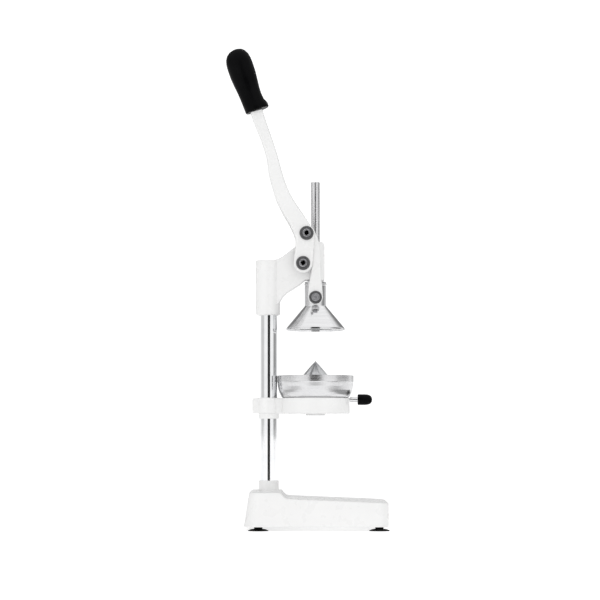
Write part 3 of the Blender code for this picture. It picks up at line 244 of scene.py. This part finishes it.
def darker(colour, share):
    """Colour with the given share of its brightness."""
    return tuple(share * part for part in colour)


def white_enamel():
    """Gloss white paint, a little uneven, and thin and greyer along its edges."""
    finish = Finish("gloss_white_enamel", (0.86, 0.86, 0.855), 0.28)
    cloud = finish.remap(finish.noise(60 * MM, 3.0), 0.0, 1.0)
    tone = finish.blend(cloud, (0.852, 0.852, 0.849), (0.868, 0.868, 0.865))
    wear, rounded = finish.edge_wear(0.7 * MM)
    thin = finish.combine("MULTIPLY", wear, finish.remap(finish.noise(12 * MM, 4.0), 0.02, 0.22))
    finish.set("Base Color", finish.blend(thin, tone, (0.68, 0.68, 0.68)))
    finish.set("Roughness", finish.remap(finish.noise(20 * MM, 4.0), 0.25, 0.33))
    finish.set("Normal", finish.bump(finish.noise(7 * MM, 2.0), 0.008 * MM, rounded))
    return finish.material


def chrome():
    """Bright plating with a faint cloud and vertical wiping marks."""
    finish = Finish("chrome_plate", (0.86, 0.87, 0.88), 0.06, 1.0)
    cloud = finish.remap(finish.noise(25 * MM, 4.0), 0.0, 1.0)
    finish.set("Base Color", finish.blend(cloud, (0.83, 0.84, 0.85), (0.90, 0.905, 0.91)))
    finish.set("Roughness", finish.remap(finish.noise(3 * MM, 6.0, (1.0, 1.0, 8.0)), 0.035, 0.09))
    finish.set("Normal", finish.bump(finish.noise(30 * MM, 1.0, (1.0, 1.0, 3.0)), 0.05 * MM))
    return finish.material


def turned_steel(name, colour, roughness, line_size, line_depth, centre_x, anisotropy):
    """Steel with fine rings from a lathe or a polishing wheel about a vertical axis."""
    finish = Finish(name, colour, roughness, 1.0)
    rings = finish.noise(line_size, 3.0, (1.0, 40.0, 1.0), finish.turned_place(centre_x))
    finish.set("Base Color", finish.blend(finish.remap(rings, 0.0, 1.0), darker(colour, 0.88), colour))
    streaks = finish.combine("ADD", rings, finish.noise(14 * MM, 4.0))
    finish.set("Roughness", finish.remap(streaks, 0.8 * roughness, 1.3 * roughness, 0.8, 1.2))
    finish.set("Normal", finish.bump(rings, line_depth))
    finish.set("Anisotropic", anisotropy)
    around = finish.node("ShaderNodeTangent", direction_type="RADIAL", axis="Z")
    finish.set("Tangent", around.outputs["Tangent"])
    return finish.material


def plated_steel(name, colour, roughness):
    """Small plated hardware, a little cloudy and worn bright along its edges."""
    finish = Finish(name, colour, roughness, 1.0)
    cloud = finish.remap(finish.noise(2.5 * MM, 5.0), 0.0, 1.0)
    tone = finish.blend(cloud, darker(colour, 0.8), colour)
    wear, rounded = finish.edge_wear(0.35 * MM)
    worn = finish.combine("MULTIPLY", wear, 0.6)
    finish.set("Base Color", finish.blend(worn, tone, (0.75, 0.75, 0.76)))
    patches = finish.noise(1.2 * MM, 4.0)
    finish.set("Roughness", finish.remap(patches, 0.75 * roughness, 1.35 * roughness))
    finish.set("Normal", finish.bump(finish.noise(0.5 * MM, 2.0), 0.008 * MM, rounded))
    return finish.material


def cast_metal(name, colour, roughness):
    """Cast or sintered metal with a fine grain, worn bright along its edges."""
    finish = Finish(name, colour, roughness, 1.0)
    cloud = finish.remap(finish.noise(6 * MM, 4.0), 0.0, 1.0)
    tone = finish.blend(cloud, darker(colour, 0.85), colour)
    wear, rounded = finish.edge_wear(0.5 * MM)
    worn = finish.combine("MULTIPLY", wear, 0.4)
    finish.set("Base Color", finish.blend(worn, tone, (0.8, 0.8, 0.8)))
    patches = finish.noise(1.5 * MM, 4.0)
    finish.set("Roughness", finish.remap(patches, 0.8 * roughness, 1.3 * roughness))
    finish.set("Normal", finish.bump(finish.noise(0.8 * MM, 3.0), 0.02 * MM, rounded))
    return finish.material


def black_plastic():
    """Moulded plastic with a fine grain and little gloss."""
    finish = Finish("moulded_black_plastic", (0.004, 0.004, 0.0045), 0.32)
    cloud = finish.remap(finish.noise(20 * MM, 3.0), 0.0, 1.0)
    finish.set("Base Color", finish.blend(cloud, (0.0015, 0.0015, 0.0018), (0.003, 0.003, 0.0034)))
    finish.set("Roughness", finish.remap(finish.noise(5 * MM, 5.0), 0.28, 0.42))
    finish.set("Specular IOR Level", 0.05)
    finish.set("Normal", finish.bump(finish.noise(0.55 * MM, 2.0), 0.008 * MM))
    return finish.material


def black_rubber():
    """Dull rubber with a trace of dust."""
    finish = Finish("black_rubber", (0.008, 0.008, 0.008), 0.75)
    dust = finish.remap(finish.noise(3 * MM, 5.0), 0.0, 1.0, 0.5, 0.75)
    finish.set("Base Color", finish.blend(dust, (0.005, 0.005, 0.005), (0.014, 0.014, 0.0135)))
    finish.set("Roughness", finish.remap(finish.noise(2 * MM, 4.0), 0.62, 0.85))
    finish.set("Specular IOR Level", 0.12)
    finish.set("Normal", finish.bump(finish.noise(0.6 * MM, 3.0), 0.04 * MM))
    return finish.material


def make_finishes(press_x):
    """Materials by the name of the CAD material that they stand for."""
    polished = ("polished_steel_rings", (0.78, 0.78, 0.79), 0.12, 0.5 * MM, 0.002 * MM, press_x, 0.4)
    satin = ("satin_steel_rings", (0.76, 0.76, 0.77), 0.24, 0.35 * MM, 0.003 * MM, press_x, 0.4)
    return {
        "white_enamel": white_enamel(),
        "chrome": chrome(),
        "polished_steel": turned_steel(*polished),
        "satin_steel": turned_steel(*satin),
        "zinc_steel": plated_steel("zinc_plated_steel", (0.52, 0.52, 0.54), 0.36),
        "dark_steel": plated_steel("dark_steel", (0.19, 0.19, 0.195), 0.45),
        "cast_aluminium": cast_metal("cast_aluminium", (0.66, 0.67, 0.68), 0.34),
        "bronze": cast_metal("sintered_bronze", (0.50, 0.34, 0.17), 0.42),
        "black_plastic": black_plastic(),
        "black_rubber": black_rubber(),
    }


def smooth_group():
    """Geometry nodes that merge the CAD triangles and shade them smooth up to 35 degrees."""
    group = bpy.data.node_groups.new("smooth_by_angle", "GeometryNodeTree")
    group.interface.new_socket("Geometry", in_out="INPUT", socket_type="NodeSocketGeometry")
    group.interface.new_socket("Geometry", in_out="OUTPUT", socket_type="NodeSocketGeometry")
    graph = Graph(group)
    start = graph.node("NodeGroupInput")
    inputs = {"Geometry": start.outputs[0], "Distance": 0.001 * MM}
    merge = graph.node("GeometryNodeMergeByDistance", inputs)
    angle = graph.node("GeometryNodeInputMeshEdgeAngle").outputs["Unsigned Angle"]
    sharp = graph.node("FunctionNodeCompare", {0: angle, 1: SHARP_ANGLE})
    inputs = {"Mesh": merge.outputs[0], "Edge Sharpness": sharp.outputs[0]}
    shade = graph.node("GeometryNodeSetMeshNormal", inputs)
    graph.node("NodeGroupOutput", {0: shade.outputs[0]})
    return group


def finish_nodes(finishes):
    """Gives each CAD node its finish and smooth shading."""
    group = smooth_group()
    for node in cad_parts.values():
        smoothing = node.modifiers.new("smooth_by_angle", "NODES")
        smoothing.node_group = group
        node.modifiers.new("weighted_normal", "WEIGHTED_NORMAL").keep_sharp = True
        for slot in node.material_slots:
            slot.material = finishes[slot.material.name.split(".")[0]]


def middle(node):
    """Middle of the box of a CAD node."""
    low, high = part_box(node)
    return 0.5 * (low + high)


def add_piece(name, shape, node, body, slot, finishes):
    """Object from a bmesh that stands for a CAD node and moves with its body."""
    bmesh.ops.recalc_face_normals(shape, faces=shape.faces)
    mesh = bpy.data.meshes.new(name)
    shape.to_mesh(mesh)
    shape.free()
    mesh.shade_smooth()
    mesh.set_sharp_from_angle(angle=SHARP_ANGLE)
    mesh.materials.append(finishes[slot])
    piece = bpy.data.objects.new(name, mesh)
    bpy.context.scene.collection.objects.link(piece)
    piece.modifiers.new("weighted_normal", "WEIGHTED_NORMAL").keep_sharp = True
    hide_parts(node)
    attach(piece, body)


def rounded_outline(outline, radius):
    """Outline with each corner off the axis cut back and rounded by three points on a curve."""
    rounded = []
    count = len(outline)
    for index, corner in enumerate(outline):
        if corner[0] <= 0:
            rounded.append(corner)
            continue
        here = Vector(corner)
        before = Vector(outline[index - 1]) - here
        after = Vector(outline[(index + 1) % count]) - here
        first = here + before.normalized() * min(radius, 0.45 * before.length)
        last = here + after.normalized() * min(radius, 0.45 * after.length)
        bend = 0.25 * first + 0.5 * here + 0.25 * last
        rounded.extend(tuple(point) for point in (first, bend, last))
    return rounded


def spin(outline):
    """Spins a closed loop of (radius, height) about Z."""
    shape = bmesh.new()
    loop = [shape.verts.new((radius, 0.0, height)) for radius, height in outline]
    for start, end in zip(loop, loop[1:] + loop[:1]):
        if start.co.x > 0 or end.co.x > 0:
            shape.edges.new((start, end))
    bmesh.ops.spin(
        shape,
        geom=[*shape.verts, *shape.edges],
        cent=(0.0, 0.0, 0.0),
        axis=(0.0, 0.0, 1.0),
        dvec=(0.0, 0.0, 0.0),
        angle=2 * math.pi,
        steps=TURNED_SEGMENTS,
        use_merge=True,
    )
    bmesh.ops.remove_doubles(shape, verts=shape.verts, dist=0.0001 * MM)
    return shape


def turned_piece(name, outline, rounding, axis_node, node, body, slot, finishes):
    """Finely turned piece with rounded edges about the vertical axis of the axis node."""
    shape = spin(rounded_outline(outline, rounding))
    axis = middle(axis_node)
    bmesh.ops.translate(shape, vec=(axis.x, axis.y, 0.0), verts=shape.verts)
    add_piece(name, shape, node, body, slot, finishes)


def half_width(node):
    """Half the size of a CAD node across the machine, which is the radius of a round one."""
    low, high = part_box(node)
    return 0.5 * (high.y - low.y)


def make_column(finishes):
    node = "column_tube"
    low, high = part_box(node)
    radius = half_width(node)
    bore = radius - COLUMN_WALL
    outline = [(bore, low.z), (radius, low.z), (radius, high.z), (bore, high.z)]
    turned_piece("column", outline, COLUMN_EDGE, node, node, "stand", "chrome", finishes)


def make_rod(finishes):
    node = "press_rod"
    low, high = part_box(node)
    radius = half_width(node)
    outline = [(0, low.z), (radius, low.z), (radius, high.z), (0, high.z)]
    turned_piece("rod", outline, ROD_EDGE, node, node, "press", "satin_steel", finishes)


def bell_outline():
    """Outer skin from the lip up the neck, then the rod socket and the inside of the cone."""
    low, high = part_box("press_bell")
    lip = half_width("press_bell")
    inner_lip = lip - BELL_WALL
    band_z = low.z + BELL_BAND
    cone_z = band_z + BELL_CONE
    inner_band_z = band_z - BELL_INNER_DROP
    ceiling_z = cone_z - BELL_ROOF
    ceiling = inner_lip - (lip - BELL_NECK) * (ceiling_z - inner_band_z) / BELL_CONE
    socket = half_width("press_rod") + GAP
    socket_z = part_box("press_rod")[0].z - GAP
    bead = BELL_NECK + BEAD_PROUD
    bead_z = high.z - BEAD_DROP
    bead_top_z = bead_z + BEAD_HEIGHT
    return [
        (lip, low.z),
        (lip, band_z),
        (BELL_NECK, cone_z),
        (BELL_NECK, bead_z),
        (bead, bead_z + BEAD_EDGE),
        (bead, bead_top_z - BEAD_EDGE),
        (BELL_NECK, bead_top_z),
        (BELL_NECK, high.z),
        (socket, high.z),
        (socket, socket_z),
        (0, socket_z),
        (0, ceiling_z),
        (ceiling, ceiling_z),
        (inner_lip, inner_band_z),
        (inner_lip, low.z),
    ]


def make_bell(finishes):
    names = ("press_rod", "press_bell", "press", "polished_steel")
    turned_piece("bell", bell_outline(), BELL_EDGE, *names, finishes)


def bowl_outline():
    """Drawn steel wall from the drain hole round to the rolled rim and back down inside."""
    low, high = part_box("juice_bowl")
    rim = half_width("juice_bowl")
    foot = rim - BOWL_FOOT_INSET
    outer = [(rim - inset * MM, high.z - depth * MM) for inset, depth in BOWL_PROFILE]
    inner = [(radius - BOWL_WALL, height) for radius, height in outer[:0:-1]]
    floor_z = low.z + BOWL_WALL
    corner = (foot - BOWL_CORNER_INSET, floor_z)
    return [(BOWL_DRAIN, low.z), (foot, low.z), *outer, *inner, corner, (BOWL_DRAIN, floor_z)]


def make_bowl(finishes):
    node = "juice_bowl"
    turned_piece("bowl", bowl_outline(), BOWL_EDGE, node, node, "stand", "satin_steel", finishes)


def loft(rings):
    """Bridges closed rings of equal length, with a flat cap at each end."""
    shape = bmesh.new()
    made = []
    for ring in rings:
        corners = [shape.verts.new(point) for point in ring]
        edges = [shape.edges.new(pair) for pair in zip(corners, corners[1:] + corners[:1])]
        made.append((corners, edges))
    for (_, lower), (_, upper) in zip(made, made[1:]):
        bmesh.ops.bridge_loops(shape, edges=lower + upper)
    for corners, _ in (made[0], made[-1]):
        shape.faces.new(corners)
    return shape


def circle(radius, segments):
    steps = [2 * math.pi * step / segments for step in range(segments)]
    return [(radius * math.cos(angle), radius * math.sin(angle)) for angle in steps]


def hexagon(radius, segments):
    """Points along the sides of a hexagon, as many as in a circle beside it."""
    points = []
    for step in range(segments):
        angle = 2 * math.pi * step / segments
        off_corner = (angle + math.pi / 6) % (math.pi / 3) - math.pi / 6
        reach = radius * math.cos(math.pi / 6) / math.cos(math.pi / 6 - abs(off_corner))
        points.append((reach * math.cos(angle), reach * math.sin(angle)))
    return points


def bolt_rings(end, top):
    """Sections along a socket-head bolt from the end of the shank to the floor of the socket."""
    seat = top - BOLT_HEAD_HEIGHT
    bend = 0.3 * BOLT_EDGE
    circles = (
        (BOLT_SHANK - BOLT_EDGE, end),
        (BOLT_SHANK, end + BOLT_EDGE),
        (BOLT_SHANK, seat),
        (BOLT_HEAD, seat),
        (BOLT_HEAD, top - BOLT_EDGE),
        (BOLT_HEAD - bend, top - bend),
        (BOLT_HEAD - BOLT_EDGE, top),
        (BOLT_SOCKET_MOUTH, top),
    )
    sections = [(circle(radius, BOLT_SEGMENTS), along) for radius, along in circles]
    for along in (top - BOLT_SOCKET_EDGE, top - BOLT_SOCKET_DEPTH):
        sections.append((hexagon(BOLT_SOCKET, BOLT_SEGMENTS), along))
    return [[(x, z, along) for x, z in section] for section, along in sections]


def make_bolt(node, body, side, finishes):
    """Socket-head bolt across the machine, with its head on the given side."""
    low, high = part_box(node)
    place = middle(node)
    # Measured towards the head, the end of the shank always comes first.
    end, top = sorted((side * low.y, side * high.y))
    placed = [
        [(place.x + x, side * along, place.z + side * z) for x, z, along in ring]
        for ring in bolt_rings(end, top)
    ]
    add_piece(f"{node}_fine", loft(placed), node, body, "zinc_steel", finishes)


def reamer_ring(share, radius, place, height):
    """Section of the reamer: sharp ridges with round hollows between, fading to the tip."""
    depth = REAMER_HOLLOW * (1 - REAMER_FADE * share)
    ring = []
    for step in range(REAMER_SEGMENTS):
        angle = 2 * math.pi * step / REAMER_SEGMENTS
        hollow = abs(math.sin(0.5 * REAMER_RIBS * angle)) ** REAMER_HOLLOW_POWER
        reach = radius * (1 - depth * hollow)
        ring.append((place.x + reach * math.cos(angle), place.y + reach * math.sin(angle), height))
    return ring


def make_reamer(finishes):
    """Round flange, ribbed cone that curves in towards the top, and a small round tip."""
    low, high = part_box("reamer")
    place = middle("reamer")
    base = half_width("reamer")
    flange_z = low.z + REAMER_FLANGE
    tip_z = high.z - REAMER_TIP
    flange = circle(base, REAMER_SEGMENTS)
    rings = [[(place.x + x, place.y + y, z) for x, y in flange] for z in (low.z, flange_z)]
    for step in range(REAMER_STEPS + 1):
        share = step / REAMER_STEPS
        taper = REAMER_FOOT * (1 - share**REAMER_CONE_POWER)
        radius = (base - REAMER_TIP) * taper + REAMER_TIP
        rings.append(reamer_ring(share, radius, place, flange_z + share * (tip_z - flange_z)))
    for angle in REAMER_TIP_ANGLES:
        radius = REAMER_TIP * math.cos(angle)
        rings.append(reamer_ring(1.0, radius, place, tip_z + REAMER_TIP * math.sin(angle)))
    add_piece("reamer_fine", loft(rings), "reamer", "stand", "cast_aluminium", finishes)


def make_camera():
    camera = bpy.data.objects.new("camera", bpy.data.cameras.new("camera"))
    bpy.context.scene.collection.objects.link(camera)
    camera.location = CAMERA_PLACE
    aim = CAMERA_TARGET - CAMERA_PLACE
    camera.rotation_euler = aim.to_track_quat("-Z", "Y").to_euler()
    camera.data.sensor_width = SENSOR_WIDTH
    camera.data.lens = SENSOR_WIDTH * aim.length / FIELD_WIDTH
    camera.data.shift_y = CAMERA_SHIFT
    camera.data.dof.use_dof = False
    bpy.context.scene.camera = camera


def make_world():
    """White room for reflections and light, in front of a plain white backdrop."""
    world = bpy.data.worlds.new("studio")
    world.use_nodes = True
    world.node_tree.nodes.clear()
    graph = Graph(world.node_tree)
    direction = graph.node("ShaderNodeTexCoord").outputs["Generated"]
    level = ROOM_LIGHT
    for patch_direction, dim, inner, outer in DIM_PATCHES:
        nearness = graph.dot(direction, patch_direction.normalized())
        patch = graph.remap(nearness, 1.0, dim, math.cos(outer), math.cos(inner))
        level = graph.combine("MULTIPLY", patch, level)
    white = (1.0, 1.0, 1.0, 1.0)
    room = graph.node("ShaderNodeBackground", {"Color": white, "Strength": level})
    backdrop = graph.node("ShaderNodeBackground", {"Color": white, "Strength": BACKDROP_LIGHT})
    seen = graph.node("ShaderNodeLightPath").outputs["Is Camera Ray"]
    inputs = {"Fac": seen, 1: room.outputs[0], 2: backdrop.outputs[0]}
    choice = graph.node("ShaderNodeMixShader", inputs)
    graph.node("ShaderNodeOutputWorld", {"Surface": choice.outputs[0]})
    bpy.context.scene.world = world


def make_panel(name, size, material):
    """Flat stage panel in the XY plane, centred on its origin."""
    shape = bmesh.new()
    bmesh.ops.create_grid(shape, x_segments=1, y_segments=1, size=0.5)
    bmesh.ops.scale(shape, vec=(*size, 1.0), verts=shape.verts)
    mesh = bpy.data.meshes.new(name)
    shape.to_mesh(mesh)
    shape.free()
    mesh.materials.append(material)
    panel = bpy.data.objects.new(name, mesh)
    bpy.context.scene.collection.objects.link(panel)
    return panel


def make_floor():
    """Plain pale table top with a soft glow of its own, so that it stays white in the picture."""
    finish = Finish("pale_floor", (FLOOR_GREY, FLOOR_GREY, FLOOR_GREY), 0.7)
    finish.set("Specular IOR Level", 0.1)
    finish.set("Emission Color", (1.0, 1.0, 1.0, 1.0))
    finish.set("Emission Strength", FLOOR_GLOW)
    make_panel("floor", (FLOOR_SIZE, FLOOR_SIZE), finish.material)


def make_card(name, grey, size, place, tilt):
    """Card that only shows in the reflections of bright metal, tilted about the X axis."""
    finish = Finish(name, (grey, grey, grey), 1.0)
    card = make_panel(name, size, finish.material)
    card.location = place
    card.rotation_euler = (tilt, 0.0, 0.0)
    card.visible_camera = False
    card.visible_diffuse = False


def make_cards():
    """A dark card that stands in front of the machine, and grey ones on the table beside it."""
    standing = (CAMERA_PLACE.x, FRONT_CARD_Y, 0.5 * FRONT_CARD_SIZE[1])
    make_card("front_card", FRONT_CARD_GREY, FRONT_CARD_SIZE, standing, 0.5 * math.pi)
    for name, grey, x in TABLE_CARDS:
        make_card(name, grey, TABLE_CARD_SIZE, (x, TABLE_CARD_Y, MM), 0.0)


def make_overhead_light():
    """Weak and very wide light from straight above."""
    lamp = bpy.data.lights.new("overhead", "SUN")
    lamp.energy = OVERHEAD_LIGHT
    lamp.angle = OVERHEAD_SPREAD
    light = bpy.data.objects.new("overhead", lamp)
    bpy.context.scene.collection.objects.link(light)


def make_studio():
    """Everything round the machine: room, table, cards and light."""
    make_world()
    make_floor()
    make_cards()
    make_overhead_light()
    bpy.context.scene.view_settings.view_transform = "Standard"


def main():
    finishes = make_finishes(middle("press_rod").x)
    finish_nodes(finishes)
    make_column(finishes)
    make_rod(finishes)
    make_bell(finishes)
    make_bowl(finishes)
    make_reamer(finishes)
    for node, body, side in BOLTS:
        make_bolt(node, body, side, finishes)
    make_camera()
    make_studio()


main()
